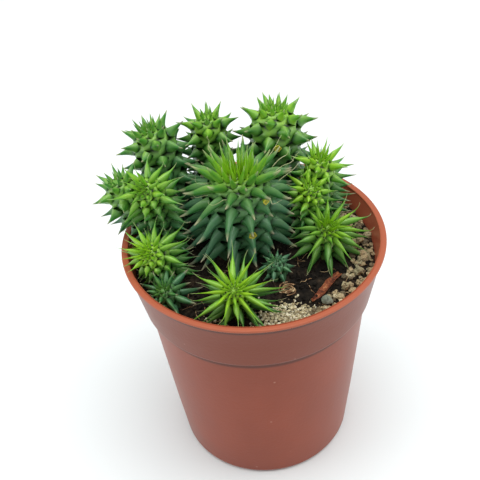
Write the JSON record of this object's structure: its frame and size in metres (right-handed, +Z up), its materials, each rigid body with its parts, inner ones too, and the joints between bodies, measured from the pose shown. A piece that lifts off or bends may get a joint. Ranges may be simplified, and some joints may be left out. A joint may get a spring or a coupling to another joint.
{
  "type": "potted euphorbia",
  "caption": "Clump of domed green succulent stems covered in pointed tubercles, growing in gritty soil in a small tapered plastic nursery pot.",
  "frame": {"origin": "centre of the flat underside of the pot, on the surface it stands on", "axes": "+Z up along the pot's axis; -Y towards the side of the low front stem; +X towards the bare soil on the right"},
  "size_m": [0.0918, 0.0863, 0.1192],
  "materials": {
    "pot_plastic": "satin moulded terracotta-brown plastic",
    "potting_soil": "rough dark peat",
    "stem_old": "waxy dark green skin",
    "stem_young": "waxy lime green skin",
    "flower": "satin yellow-green",
    "pumice": "rough beige",
    "grit": "rough cream",
    "pebble_stone": "worn grey-green",
    "bark": "dry red-brown fibres"
  },
  "bodies": {
    "root": {"pot": "pot_plastic", "soil": "potting_soil", "main_stem": "stem_old", "stem_back_right": "stem_old", "stem_back_middle": "stem_old", "stem_back_left": "stem_old", "stem_far_left": "stem_old", "stem_left": "stem_young", "stem_left_front": "stem_young", "stem_left_low": "stem_old", "stem_front": "stem_young", "stem_right": "stem_young", "stem_right_back": "stem_young", "stem_right_inner": "stem_young", "stem_low_middle": "stem_old", "cyathium_right": "flower", "cyathium_front": "flower", "cyathium_back": "flower", "pumice_back_right": "pumice", "pumice_right_upper": "pumice", "pumice_right_middle": "pumice", "pumice_right_lower": "pumice", "pumice_front_right": "pumice", "pumice_back_low": "pumice", "pebble": "pebble_stone", "grit_1": "grit", "grit_2": "grit", "grit_3": "grit", "grit_4": "grit", "grit_5": "grit", "grit_6": "grit", "grit_7": "grit", "grit_8": "grit", "grit_9": "grit", "bark_sliver": "bark", "root_curl": "bark"}
  },
  "joints": []
}
